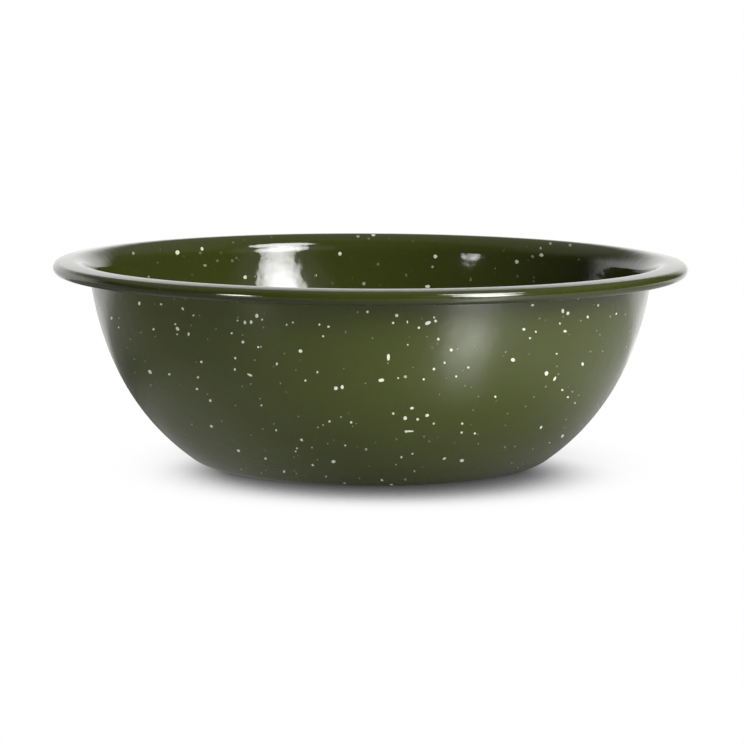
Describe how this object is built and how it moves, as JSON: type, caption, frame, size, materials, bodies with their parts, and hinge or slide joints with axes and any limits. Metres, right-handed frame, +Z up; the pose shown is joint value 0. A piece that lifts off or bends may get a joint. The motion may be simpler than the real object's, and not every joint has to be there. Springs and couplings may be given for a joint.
{
  "type": "enamel basin bowl",
  "caption": "Round enamelled steel basin bowl with a dished base, curved sides, a flared flange and a rolled edge, for food, washing or mixing.",
  "frame": {"origin": "on the bowl's axis, at the plane of the foot ring that it stands on", "axes": "+Z up along the bowl's axis; the bowl is round, so X and Y are free"},
  "size_m": [0.18, 0.18, 0.057],
  "materials": {
    "steel": "pickled cold-rolled sheet, sealed under the enamel",
    "ground_enamel": "dark fired ground coat",
    "cover_enamel": "glossy olive enamel with off-white spatter flecks"
  },
  "bodies": {
    "root": {"steel_shell": "steel", "ground_coat_inside": "ground_enamel", "ground_coat_outside": "ground_enamel", "cover_coat_inside": "cover_enamel", "cover_coat_outside": "cover_enamel"}
  },
  "joints": []
}
